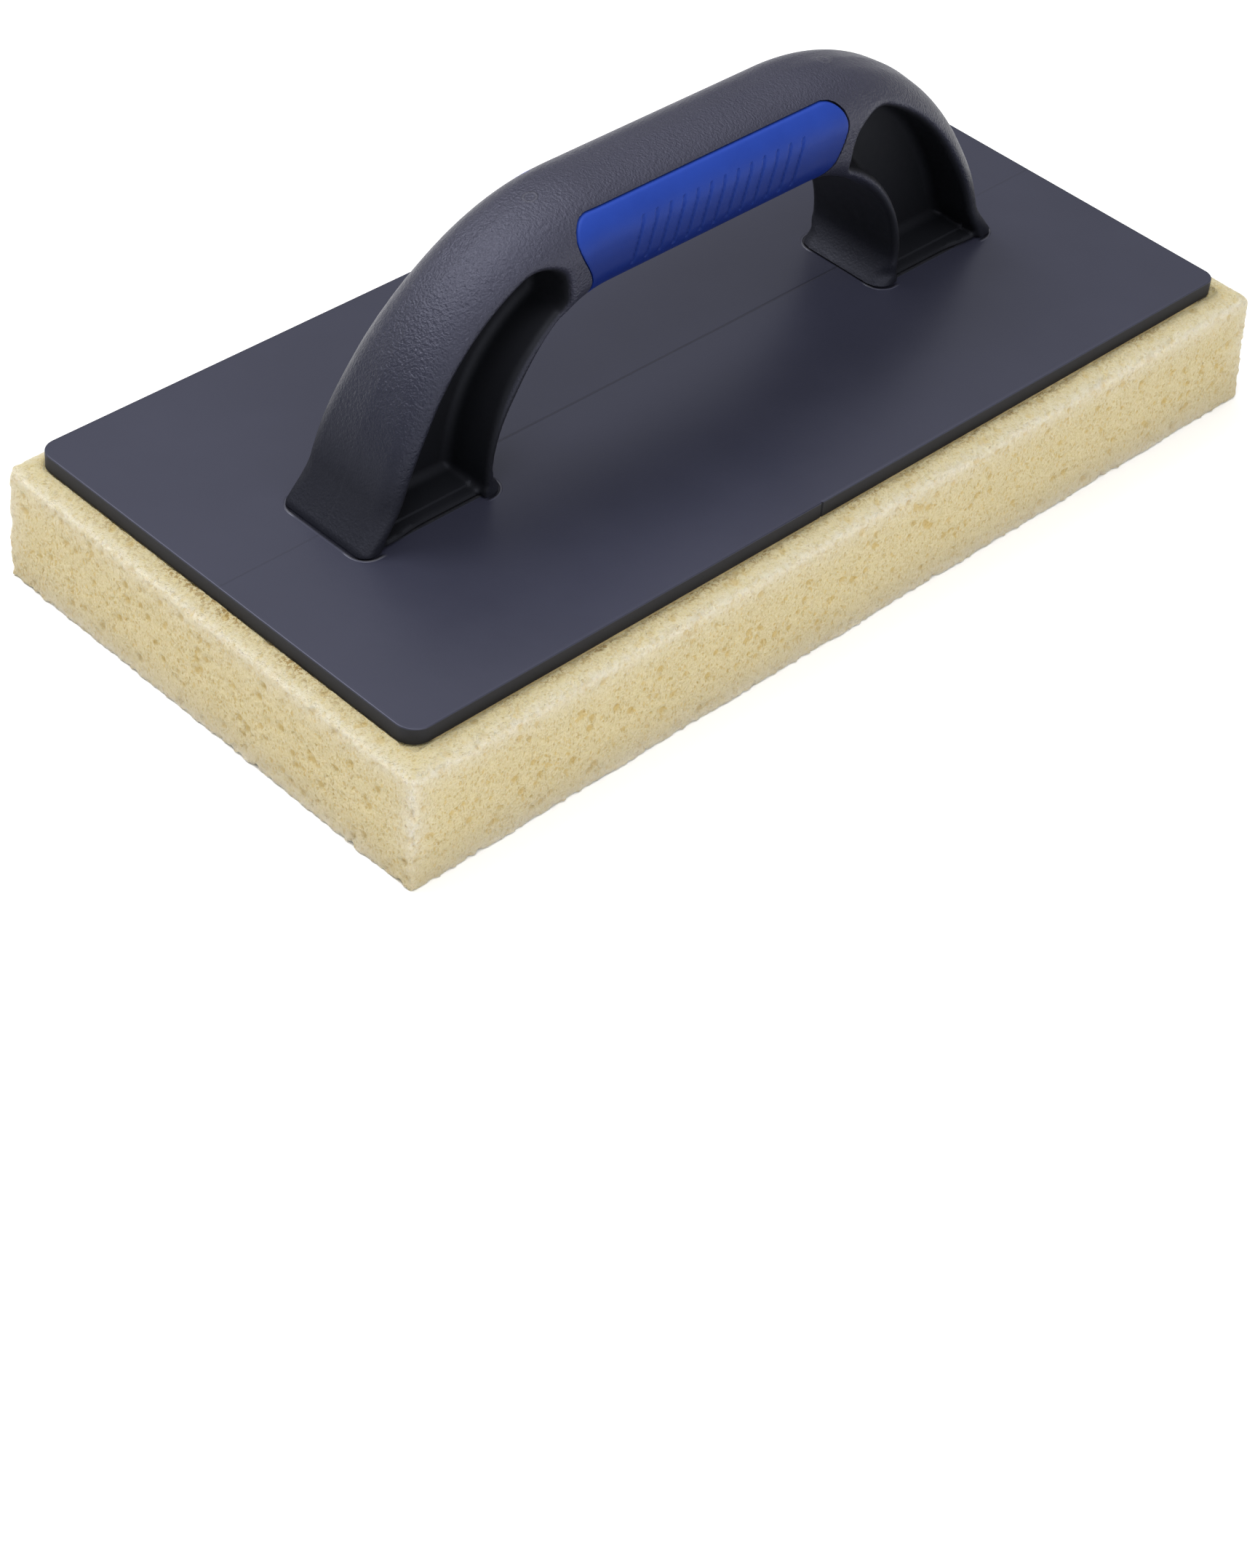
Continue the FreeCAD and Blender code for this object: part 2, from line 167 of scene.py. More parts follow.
def leg_recess(p):
    """Hollow in the side of each leg, on both sides of its web."""
    x, y, z = np.abs(p[:, 0]), np.abs(p[:, 1]), p[:, 2]
    outer_wall = outer_profile(x, z) + OUTER_WALL[0] + OUTER_WALL[1] * ramp(z, BASE_Z + 8, BASE_Z + 30)
    inner_wall = arch_profile(x, z) + INNER_WALL[0] + INNER_WALL[1] * ramp(arch_angle(x, z), 5, 66)
    end = RECESS_END_X - x
    walls = cut(cut(outer_wall, end, RECESS_END_RADIUS), cut(inner_wall, end, RECESS_RADIUS), RECESS_RADIUS)
    ledge = LEDGE_DROP * ramp(y, LEDGE_Y, LEDGE_Y + 0.3)
    outline = cut(walls, RECESS_FLOOR - ledge - z, RECESS_FILLET)
    draft = RECESS_DRAFT * (HALF_WIDTH - y)
    hollow = cut(outline + draft, WEB - y, RECESS_FILLET)
    setback = FLOOR_SETBACK + ramp(x, 86, 98)
    return join(hollow, cut(walls + 0.6, setback - y, 0.7), 0.8)


def insert_outline(p, gap):
    """Distance outside the insert's outline in side view, drawn in by gap."""
    x, z = p[:, 0], p[:, 2]
    left = INSERT_LEFT + INSERT_LEAN * ramp(z, 94.0, 82.0) + gap - x
    right = x - INSERT_RIGHT + gap
    top = z - INSERT_TOP + gap
    heel = (x - HEEL_X) * HEEL_COS - (z - HEEL_Z) * HEEL_SIN + gap
    return np.maximum(np.maximum(cut(left, top, 5.0), cut(right, top, 7.5)), cut(right, heel, 6.0))


def handle_field(p):
    """Distance outside the finished handle."""
    z = p[:, 2]
    blank = handle_blank(p)
    body = cut(blank, -leg_recess(p), RECESS_MOUTH[0] + RECESS_MOUTH[1] * ramp(z, 48, 70))
    seat = np.maximum(insert_outline(p, 0.0), -blank - INSERT_DEPTH)
    return cut(body, -seat, 0.2)


GROOVE_PITCH = 4.3
GROOVES_EACH_SIDE = 6                  # of the middle one
GROOVE_SLANT = 0.25
GROOVE_MIDDLE_Z = 88.0
GROOVE_HALF_LENGTH = 5.4
GROOVE_HALF_WIDTH, GROOVE_DEPTH = 0.62, 0.42


def grip_grooves(p):
    """Depth of the slanted grip lines cut in the insert's sides, all alike and evenly spaced."""
    x, z = p[:, 0], p[:, 2] - GROOVE_MIDDLE_Z
    along = x - GROOVE_SLANT * z
    count = np.clip(np.round(along / GROOVE_PITCH), -GROOVES_EACH_SIDE, GROOVES_EACH_SIDE)
    across = along - count * GROOVE_PITCH
    beyond = np.maximum(np.abs(z) - GROOVE_HALF_LENGTH, 0)
    return GROOVE_DEPTH * ramp(np.hypot(across, beyond), GROOVE_HALF_WIDTH, 0.1)


def insert_field(p):
    """Distance outside the soft grip insert, a skin of even thickness on three sides of the grip."""
    blank = handle_blank(p)
    skin = cut(blank, insert_outline(p, INSERT_GAP), 0.35)
    lined = skin + grip_grooves(p) * ramp(np.abs(p[:, 1]), 9, 12)
    return np.maximum(lined, -blank - INSERT_DEPTH + INSERT_CLEARANCE)


# ---------------------------------------------------------------- surfaces

def field_values(field, points):
    """A field's values on a grid of points."""
    return field(points.reshape(-1, 3)).reshape(points.shape[:-1])


def field_normals(field, points, step=0.04):
    """Unit slopes of a field, by central differences."""
    slopes = []
    for axis in range(3):
        shift = np.zeros(3)
        shift[axis] = step
        slopes.append(field(points + shift) - field(points - shift))
    slopes = np.stack(slopes, axis=1)
    return slopes / np.maximum(np.linalg.norm(slopes, axis=1, keepdims=True), 1e-9)


def crossings(field, values, low, cell, axis):
    """The lattice edges along an axis that the surface crosses.

    Gives each edge's lower end, the point and the normal there, and whether the edge leaves the solid.
    """
    ahead = [slice(None)] * 3
    behind = [slice(None)] * 3
    ahead[axis] = slice(1, None)
    behind[axis] = slice(None, -1)
    first, second = values[tuple(behind)], values[tuple(ahead)]
    ends = np.argwhere((first < 0) != (second < 0))
    a, b = first[tuple(ends.T)], second[tuple(ends.T)]
    near, far = np.zeros(len(ends)), np.ones(len(ends))
    leaves = a < 0
    points = low + ends * cell
    base = points[:, axis].copy()
    for _ in range(4):
        t = near + (far - near) * np.clip(a / (a - b), 0.02, 0.98)
        points[:, axis] = base + t * cell
        here = field(points)
        same = (here < 0) == (a < 0)
        near, a = np.where(same, t, near), np.where(same, here, a)
        far, b = np.where(same, far, t), np.where(same, b, here)
    return ends, points, field_normals(field, points), leaves


def contour(field, low, high, cell):
    """Vertices and quads of the surface where a field is zero: one vertex in each cell that it crosses."""
    low, high = np.array(low, float), np.array(high, float)
    counts = np.ceil((high - low) / cell).astype(int) + 1
    x, y, z = (low[a] + cell * np.arange(counts[a]) for a in range(3))
    slab = np.stack(np.meshgrid(y, z, indexing="ij"), axis=-1)
    values = np.empty(counts)
    for i, x_here in enumerate(x):
        points = np.concatenate([np.full(slab.shape[:2] + (1,), x_here), slab], axis=-1)
        values[i] = field_values(field, points)
    cell_keys, hits, normals, quads, flips = [], [], [], [], []
    strides = np.array([counts[1] * counts[2], counts[2], 1])
    for axis in range(3):
        ends, points, slopes, leaves = crossings(field, values, low, cell, axis)
        u, v = (axis + 1) % 3, (axis + 2) % 3
        corners = []
        for du, dv in ((-1, -1), (0, -1), (0, 0), (-1, 0)):
            around = ends.copy()
            around[:, u] += du
            around[:, v] += dv
            corners.append(around @ strides)
            cell_keys.append(corners[-1])
            hits.append(points)
            normals.append(slopes)
        quads.append(np.stack(corners, axis=1))
        flips.append(~leaves)
    keys, which = np.unique(np.concatenate(cell_keys), return_inverse=True)
    vertices = settle(np.concatenate(hits), np.concatenate(normals), which, len(keys), cell)
    quads, flips = np.concatenate(quads), np.concatenate(flips)
    quads[flips] = quads[flips][:, ::-1]
    return vertices, np.searchsorted(keys, quads)


def settle(hits, normals, which, count, cell):
    """The point in each cell nearest all the planes that cross it."""
    total = np.bincount(which, minlength=count).astype(float)
    centre = np.stack([np.bincount(which, hits[:, k], count) / total for k in range(3)], axis=1)
    offset = (normals * (hits - centre[which])).sum(1)
    matrix = np.zeros((count, 3, 3))
    target = np.zeros((count, 3))
    for i in range(3):
        target[:, i] = np.bincount(which, normals[:, i] * offset, count)
        for j in range(3):
            matrix[:, i, j] = np.bincount(which, normals[:, i] * normals[:, j], count)
    matrix += np.eye(3) * (0.06 * total)[:, None, None]
    shift = np.linalg.solve(matrix, target[:, :, None])[:, :, 0]
    return centre + np.clip(shift, -0.7 * cell, 0.7 * cell)


def make_piece(name, vertices, faces, sharp_degrees=40.0):
    """A smooth-shaded mesh object from points in millimetres."""
    mesh = bpy.data.meshes.new(name)
    mesh.from_pydata((np.asarray(vertices) * MM).tolist(), [], [list(map(int, face)) for face in faces])
    mesh.validate()
    mesh.shade_smooth()
    mesh.set_sharp_from_angle(angle=math.radians(sharp_degrees))
    piece = bpy.data.objects.new(name, mesh)
    bpy.context.scene.collection.objects.link(piece)
    return piece


def add_attribute(piece, name, values):
    """Stores one number a vertex for the material to read."""
    attribute = piece.data.attributes.new(name, "FLOAT", "POINT")
    attribute.data.foreach_set("value", np.asarray(values, np.float32))


def make_handle():
    """The handle, with "skin", 1 where the moulding is grained, falling where it is smooth and painted dark
    as shade, and "crown", 1 on its outer side.
    """
    margin = 2.0
    vertices, quads = contour(handle_field, HANDLE_LOW - margin, HANDLE_HIGH + margin, HANDLE_CELL)
    piece = make_piece("handle_shell", vertices, quads)
    points = np.array([vertex.co for vertex in piece.data.vertices]) / MM
    x, z = np.abs(points[:, 0]), points[:, 2]
    outside = ramp(leg_recess(points), 0.3, 1.4)
    # Low on the legs the grain fades and the colour is painted darker, as shade.
    low_smoothing_and_shade = 0.30 + 0.70 * ramp(z, BASE_Z + 8, BASE_Z + 30)
    # The inside of each leg is nearly smooth and painted dark as shade, between its foot and the grip.
    inside_leg_smooth_and_shade = ramp(arch_profile(x, z), -2.2, -0.5) * ramp(z, BASE_Z + 4, BASE_Z + 12) * ramp(z, 77, 66)
    add_attribute(piece, "skin", outside * low_smoothing_and_shade * (1 - 0.92 * inside_leg_smooth_and_shade))
    add_attribute(piece, "crown", outside * ramp(outer_profile(x, z), -2.5, -0.8))
    return piece


def make_insert():
    """The soft insert, closed all round, in its seat."""
    margin = 1.5
    vertices, quads = contour(insert_field, INSERT_LOW - margin, INSERT_HIGH + margin, INSERT_CELL)
    return make_piece("grip_insert_soft", vertices, quads)


# ---------------------------------------------------------------- plate

PLATE_CORNERS = (6.2, 4.6, 5.2, 3.8)   # corner radii, anticlockwise from the far right one
PLATE_NEAR, PLATE_FAR = 1.9, 1.0       # how far the sheet stops short of its solid, near side and far side
PLATE_ROUNDING, PLATE_BEVEL = 0.3, 0.25  # of the sheet's top edge and its lower one
PLATE_HOLD = 0.2                       # from a bend to the loop of vertices that keeps the side flat
PLATE_RIM = 0.6                        # width of the loop that keeps the top flat
NICK_X = -10.0                         # small gate nick in the plate's near long edge
NICK_HALF_WIDTH, NICK_DEPTH = 0.35, 0.45


def plate_outline(inset):
    """Points round the plate, anticlockwise, drawn in by inset; the nick is a notch in the near long side."""
    sides = {-1: PLATE_LOW[1] + PLATE_NEAR, 1: PLATE_HIGH[1] - PLATE_FAR}
    points = []
    for quarter, (sx, sy) in enumerate(((1, 1), (-1, 1), (-1, -1), (1, -1))):
        corner = PLATE_CORNERS[quarter]
        for step in range(13):
            angle = math.radians(90 * quarter + 7.5 * step)
            reach = corner - inset
            points.append((sx * (PLATE_HIGH[0] - corner) + reach * math.cos(angle),
                           sides[sy] - sy * corner + reach * math.sin(angle)))
        if quarter == 2:
            near = sides[-1] + inset
            points.append((NICK_X - NICK_HALF_WIDTH, near))
            points.append((NICK_X, near + NICK_DEPTH))
            points.append((NICK_X + NICK_HALF_WIDTH, near))
    return points


def make_plate():
    """Sheet with a rounded top edge, a bevelled lower one and a nick in its side."""
    low, high = PLATE_LOW[2], PLATE_HIGH[2]
    bend_z = high - PLATE_ROUNDING
    levels = [(PLATE_BEVEL, low), (0.0, low + PLATE_BEVEL), (0.0, low + PLATE_BEVEL + PLATE_HOLD),
              (0.0, bend_z - PLATE_HOLD), (0.0, bend_z)]
    for step in range(1, 7):
        angle = math.radians(15 * step)
        levels.append((PLATE_ROUNDING * (1 - math.cos(angle)), bend_z + PLATE_ROUNDING * math.sin(angle)))
    levels.append((PLATE_ROUNDING + PLATE_RIM, high))
    loops = [[(x, y, z) for x, y in plate_outline(inset)] for inset, z in levels]
    count = len(loops[0])
    faces = [list(reversed(range(count)))]
    for level in range(len(loops) - 1):
        for i in range(count):
            following = (i + 1) % count
            here, above = level * count, (level + 1) * count
            faces.append([here + i, here + following, above + following, above + i])
    faces.append([(len(loops) - 1) * count + i for i in range(count)])
    return make_piece("backing_plate_moulded", np.concatenate(loops), faces, 30.0)


# ---------------------------------------------------------------- sponge

SPONGE_HALF = (SPONGE_HIGH - SPONGE_LOW) / 2
FOAM_STEP, FOAM_LAYERS = 0.66, 48      # spacing of the foam's vertices across, and their rows up its side
TOP_ROUNDING, BOTTOM_ROUNDING = 2.0, 0.8
PUFF = 0.9                             # how far the sponge's top swells up beside the plate
PORE_COUNT = 6400
TOP_RING = 9.0                         # width of the sponge's top that is worked in detail
UNDER_PLATE = 6.5                      # about how far in from the sponge's edge the plate covers its top
TORN_REACH, PALE_EDGE_REACH = 2.0, 5.5      # how far in from its edges the foam is torn, and how far it is painted pale as highlight
FACE_INSET = 0.02                      # the least that its flat faces lie inside the block
SIDE_BULGE = 0.4                       # the most that its sides stand out
SLIT_PITCH = 35.0
CLOSED_SLIT = 0.12                     # how far a slit gapes where the foam closes it
# Where a slit gapes: (axis it runs along, its place on the other axis, from, to, how far it gapes in mm).
OPEN_SLITS = [
    ("x", -35.0, -140.0, -95.0, 0.7),
    ("x", -35.0, -76.0, -53.0, 0.5),
    ("x", -35.0, 32.0, 66.0, 1.3),
    ("x", 0.0, 31.0, 50.0, 0.9),
    ("x", 0.0, 82.0, 101.0, 0.6),
    ("x", 35.0, -43.0, -36.0, 0.4),
    ("y", 35.0, -35.0, 3.0, 1.0),
    ("y", -35.0, 8.0, 31.0, 0.4),
    ("y", -70.0, -35.0, -22.0, 0.6),
    ("y", 70.0, -47.0, -22.0, 0.4),
    ("y", 105.0, -2.0, 19.0, 0.6),
]


def lattice_lines(half, step, pitch):
    """Grid lines from -half to half, with more of them beside each slit."""
    slits = np.arange(-math.floor(half / pitch), math.floor(half / pitch) + 1) * pitch
    slits = slits[np.abs(slits) < half - 1]
    lines = np.linspace(-half, half, int(round(2 * half / step)) + 1)
    clear = np.min(np.abs(lines[:, None] - slits[None, :]), axis=1) > 1.5
    beside = (slits[:, None] + np.array([-1.2, -0.7, -0.3, 0.0, 0.3, 0.7, 1.2])[None, :]).ravel()
    return np.unique(np.concatenate([lines[clear], beside]))


def grid_quads(first, rows, columns, flip):
    """Quads of a grid of rows by columns points that starts at index first."""
    index = first + np.arange(rows * columns).reshape(rows, columns)
    quads = np.stack([index[:-1, :-1], index[1:, :-1], index[1:, 1:], index[:-1, 1:]], axis=-1)
    quads = quads.reshape(-1, 4)
    return quads[:, ::-1] if flip else quads


def box_lattice(lines):
    """Points and quads on the six faces of a box ruled by three sets of lines."""
    points, quads, first = [], [], 0
    for axis in range(3):
        u, v = (axis + 1) % 3, (axis + 2) % 3
        across, along = np.meshgrid(lines[u], lines[v], indexing="ij")
        for end in (0, -1):
            face = np.empty(across.shape + (3,))
            face[..., u], face[..., v], face[..., axis] = across, along, lines[axis][end]
            points.append(face.reshape(-1, 3))
            quads.append(grid_quads(first, *across.shape, flip=end == 0))
            first += across.size
    points, quads = np.concatenate(points), np.concatenate(quads)
    _, where, which = np.unique(np.round(points, 3), axis=0, return_index=True, return_inverse=True)
    return points[where], which.reshape(-1)[quads]


def value_noise(points, size, seed):
    """Smooth noise from -1 to 1 whose lumps are size mm across."""
    table = np.random.default_rng(seed).uniform(-1, 1, (32, 32, 32))
    scaled = points / size
    floor = np.floor(scaled).astype(int)
    part = scaled - floor
    part = part * part * (3 - 2 * part)
    total = np.zeros(len(points))
    for corner in np.ndindex(2, 2, 2):
        weight = np.prod(np.where(np.array(corner), part, 1 - part), axis=1)
        total += weight * table[tuple(((floor + corner) % 32).T)]
    return total


def slit_opening(axis, place, along):
    """How far a slit gapes at each point along it, in millimetres."""
    gape = np.full(len(along), CLOSED_SLIT)
    for run_axis, run_place, start, end, width in OPEN_SLITS:
        if run_axis == axis and abs(run_place - place) < 1:
            middle, half = (start + end) / 2, (end - start) / 2
            gape = np.maximum(gape, width * ramp(np.abs(along - middle), half + 2, half * 0.3))
    return gape


def slit_cuts(flat):
    """Depth of the slits at points of the underside, and how dark each point is painted, as shade in the
    slits.
    """
    depth, mark = np.zeros(len(flat)), np.zeros(len(flat))
    for axis, across, along in (("x", 1, 0), ("y", 0, 1)):
        steps = round(SPONGE_HALF[across] / SLIT_PITCH) - 1
        for place in np.arange(-steps, steps + 1) * SLIT_PITCH:
            gape = slit_opening(axis, place, flat[:, along])
            offset = np.abs(flat[:, across] - place)
            inside = np.clip(1 - offset / (gape + 0.25), 0, 1)
            depth = np.maximum(depth, inside * (5.0 * gape - 0.2))
            shade = 0.12 + 0.88 * ramp(gape, CLOSED_SLIT, 0.6)
            mark = np.maximum(mark, shade * np.clip(1 - offset / (gape + 0.45), 0, 1))
    return depth, mark


def open_pores(surface, hidden):
    """Depth at each point of the pores that are open at the surface, and how dark each point is painted, as
    shade in the pores.
    """
    rng = np.random.default_rng(35)
    tree = kdtree.KDTree(len(surface))
    for i, point in enumerate(surface):
        tree.insert(point, i)
    tree.balance()
    depth, dark = np.zeros(len(surface)), np.zeros(len(surface))
    share_of_points = np.where(hidden, 0.0, 1.0 / np.count_nonzero(~hidden))
    chosen = rng.choice(len(surface), size=PORE_COUNT, p=share_of_points)
    radii = 0.50 + 0.95 * rng.random(len(chosen)) ** 3.2
    for start, radius in zip(chosen, radii):
        for _, i, distance in tree.find_range(surface[start], radius * 1.15):
            share = 1 - (distance / (radius * 1.15)) ** 2
            depth[i] = max(depth[i], 0.45 * radius * share)
            dark[i] = max(dark[i], share)
    return depth, dark


def cut_by_hand(flat, upper):
    """Shifts of points of a true block that make it the foam block as cut, a little out of square."""
    x, y, lower = flat[:, 0], flat[:, 1], 1 - upper
    shift = np.zeros_like(flat)
    shift[:, 0] = ramp(x, 20, 140) * (1.9 + 1.6 * lower) - ramp(x, -60, -140) * 0.7
    shift[:, 1] = -ramp(y, 10, 70) * 1.8 - ramp(y, -30, -70) * 0.9 * lower
    return shift


def round_block(flat, upper):
    """Points and normals of the block with its edges rounded, the upper ones more than the lower."""
    rounding = BOTTOM_ROUNDING + (TOP_ROUNDING - BOTTOM_ROUNDING) * ramp(upper, 0, 1)[:, None]
    core = np.clip(flat, rounding - SPONGE_HALF, SPONGE_HALF - rounding)
    outward = flat - core
    normals = outward / np.linalg.norm(outward, axis=1, keepdims=True)
    return core + normals * rounding, normals


def foam_relief(flat, edge):
    """How far the foam stands out from a true block, before its pores, slits and swelling."""
    waves = 0.14 * value_noise(flat, 16.0, 1) + 0.10 * value_noise(flat, 5.0, 2) * (1 - 0.8 * edge)
    rough = 0.14 * value_noise(flat, 1.2, 3) * (1 - 0.6 * edge)
    torn = 0.16 * value_noise(flat, 3.2, 4) + 0.44 * value_noise(flat, 1.15, 5)
    ragged = edge * torn * ramp(flat[:, 2], SPONGE_HALF[2] - 1.0, SPONGE_HALF[2] - 6.0)
    return waves + rough + ragged - 0.05


def beyond_plate(points):
    """How far each point is outside the plate's outline, seen from above."""
    x, y = points[:, 0], points[:, 1]
    beyond_y = np.maximum(PLATE_LOW[1] + PLATE_NEAR - y, y - PLATE_HIGH[1] + PLATE_FAR)
    return cut(np.abs(x) - PLATE_HIGH[0], beyond_y, min(PLATE_CORNERS))


def open_top(flat, quads, half):
    """The quads that the plate leaves in view, and the corners of one flat face in place of the others."""
    inner_x = np.max(flat[:, 0][flat[:, 0] < half[0] - TOP_RING])
    inner_y = np.max(flat[:, 1][flat[:, 1] < half[1] - TOP_RING])
    centre = flat[quads].mean(axis=1)
    covered = (np.abs(centre[:, 0]) < inner_x) & (np.abs(centre[:, 1]) < inner_y)
    quads = quads[~(covered & (centre[:, 2] > half[2] - 1e-6))]
    top = np.flatnonzero(flat[:, 2] > half[2] - 1e-6)
    x, y = flat[top, 0], flat[top, 1]
    on_x = (np.abs(np.abs(x) - inner_x) < 1e-6) & (np.abs(y) <= inner_y + 1e-6)
    on_y = (np.abs(np.abs(y) - inner_y) < 1e-6) & (np.abs(x) <= inner_x + 1e-6)
    rim = top[on_x | on_y]
    turn = np.arctan2(flat[rim, 1] / inner_y, flat[rim, 0] / inner_x)
    return quads, rim[np.argsort(turn)]


def make_sponge():
    """Foam block with open pores, uneven edges and a slit working face."""
    half = SPONGE_HALF
    x = lattice_lines(half[0], FOAM_STEP, SLIT_PITCH)
    y = lattice_lines(half[1], FOAM_STEP, SLIT_PITCH)
    z = np.linspace(-half[2], half[2], FOAM_LAYERS + 1)
    flat, quads = box_lattice([x, y, z])
    quads, cover = open_top(flat, quads, half)
    upper = (flat[:, 2] + half[2]) / (2 * half[2])
    surface, normals = round_block(flat, upper)
    shift = cut_by_hand(flat, upper)
    clearance = np.sort(half - np.abs(flat), axis=1)
    edge = np.exp(-(clearance[:, 1] / TORN_REACH) ** 2)
    under = flat[:, 2] < -half[2] + 1e-6
    top = flat[:, 2] > half[2] - 1e-6
    hidden = top & np.all(half[:2] - np.abs(flat[:, :2]) > UNDER_PLATE, axis=1)
    beside_plate = beyond_plate(flat + shift)
    ring = top & (beside_plate > 0.05)
    pore_depth, pore_shade = open_pores(surface, hidden)
    slit_depth, slit_shade = slit_cuts(flat)
    inward = pore_depth - foam_relief(flat, edge)
    inward = np.where(ring, inward - PUFF * ramp(clearance[:, 1], 0.6, 5.0), inward)
    inward = np.where(under, inward + slit_depth, inward)
    least = np.where(ring, -PUFF - 0.2, np.where(under | top, FACE_INSET, -SIDE_BULGE))
    inward = np.where(hidden, 0.0, np.maximum(inward, least))
    vertices = surface - normals * inward[:, None] + (SPONGE_HIGH + SPONGE_LOW) / 2 + shift
    piece = make_piece("sponge_foam", vertices, list(quads) + [cover], 60.0)
    # Painted highlight: the foam's edges are painted paler, less along the lower ones.
    lightening = 0.50 * edge + 0.50 * np.exp(-(clearance[:, 1] / PALE_EDGE_REACH) ** 2)
    shades = {
        "edge": lightening * np.where(flat[:, 2] < 0, 0.35 + 0.65 * ramp(clearance[:, 2], 3, 20), 1.0),
        "pore": np.where(hidden, 0, pore_shade),
        "slit": np.where(under, slit_shade, 0),
        "under": ramp(-normals[:, 2], 0.3, 0.9),
        "top": ramp(normals[:, 2], 0.25, 0.90) * (1 - 0.15 * np.exp(-(clearance[:, 1] / 1.4) ** 2)),
        "low": ramp(flat[:, 2] + half[2], 14, 0) * ramp(normals[:, 2], -0.9, -0.3),
        "ring": np.where(top, ramp(clearance[:, 2], 8, 40) * ramp(beside_plate, 4.2, 1.0), 0),
    }
    for name, values in shades.items():
        add_attribute(piece, name, values)
    return piece


# ---------------------------------------------------------------- materials

class Graph:
    """A material's node tree, with short calls for the nodes that are used here."""

    def __init__(self, name):
        self.material = bpy.data.materials.new(name)
        self.material.use_nodes = True
        self.tree = self.material.node_tree
        self.shader = self.tree.nodes["Principled BSDF"]
        self.place = self.scaled(self.node("ShaderNodeTexCoord").outputs["Object"], 1 / MM)

    def node(self, kind, **settings):
        made = self.tree.nodes.new(kind)
        for name, value in settings.items():
            setattr(made, name, value)
        return made

    def feed(self, socket, value):
        """Links an output to a socket, or sets the socket to a plain value."""
        if isinstance(value, bpy.types.NodeSocket):
            self.tree.links.new(value, socket)
        elif isinstance(value, tuple) and socket.type == "RGBA":
            socket.default_value = value + (1.0,)
        else:
            socket.default_value = value

    def math(self, operation, *values):
        made = self.node("ShaderNodeMath", operation=operation)
        for socket, value in zip(made.inputs, values):
            self.feed(socket, value)
        return made.outputs[0]

    def plus(self, first, second):
        return self.math("ADD", first, second)

    def minus(self, first, second):
        return self.math("SUBTRACT", first, second)

    def times(self, first, second):
        return self.math("MULTIPLY", first, second)

    def length(self, first, second):
        """Length of a vector with these two sides."""
        return self.math("SQRT", self.plus(self.math("POWER", first, 2.0), self.math("POWER", second, 2.0)))

    def scaled(self, vector, factors):
        """A vector times one number or three."""
        made = self.node("ShaderNodeVectorMath", operation="MULTIPLY")
        self.feed(made.inputs[0], vector)
        made.inputs[1].default_value = (factors,) * 3 if isinstance(factors, (int, float)) else factors
        return made.outputs[0]

    def axis(self, name):
        made = self.node("ShaderNodeSeparateXYZ")
        self.feed(made.inputs[0], self.place)
        return made.outputs[name]

    def attribute(self, name):
        return self.node("ShaderNodeAttribute", attribute_name=name).outputs["Fac"]

    def ramp(self, value, start, end, low=0.0, high=1.0):
        made = self.node("ShaderNodeMapRange", interpolation_type="SMOOTHSTEP")
        for name, item in (("Value", value), ("From Min", start), ("From Max", end),
                           ("To Min", low), ("To Max", high)):
            self.feed(made.inputs[name], item)
        return made.outputs["Result"]

    def noise(self, size, detail=2.0, roughness=0.5, vector=None):
        """Noise whose lumps are about size mm across."""
        made = self.node("ShaderNodeTexNoise")
        for name, item in (("Vector", vector or self.place), ("Scale", 1 / size),
                           ("Detail", detail), ("Roughness", roughness)):
            self.feed(made.inputs[name], item)
        return made.outputs["Fac"]

    def cells(self, size, vector=None, feature="F1"):
        """Voronoi cells about size mm across: distance, and a random number for each cell."""
        made = self.node("ShaderNodeTexVoronoi", feature=feature)
        self.feed(made.inputs["Vector"], vector or self.place)
        self.feed(made.inputs["Scale"], 1 / size)
        split = self.node("ShaderNodeSeparateColor")
        self.feed(split.inputs[0], made.outputs["Color"])
        return made.outputs["Distance"], split.outputs[0]

    def mix(self, factor, first, second):
        made = self.node("ShaderNodeMix", data_type="RGBA")
        for index, item in ((0, factor), (6, first), (7, second)):
            self.feed(made.inputs[index], item)
        return made.outputs[2]

    def bump(self, height, distance_mm, strength=1.0):
        made = self.node("ShaderNodeBump")
        self.feed(made.inputs["Height"], height)
        self.feed(made.inputs["Distance"], distance_mm * MM)
        self.feed(made.inputs["Strength"], strength)
        self.feed(self.shader.inputs["Normal"], made.outputs[0])

    def set(self, **values):
        for name, value in values.items():
            self.feed(self.shader.inputs[name.replace("_", " ")], value)
        return self.material


def near(g, value, reach):
    """1 where a value is close to 0, falling to 0 at reach."""
    return g.ramp(g.math("ABSOLUTE", value), reach, reach * 0.4)


RING_X, RING_RADIUS = 47.0, 1.5        # gate rings on the crown
FOOT_MIDDLE = 84.2                     # middle of each foot along X
FOOT_CORE = (17.2, 10.0)               # half size of a foot's outline without its rounded corners
FOOT_SHADOW_OUT, BEAD_OUT = 4.25, 4.75        # how far outside that the painted shadow line and the bead of melt run
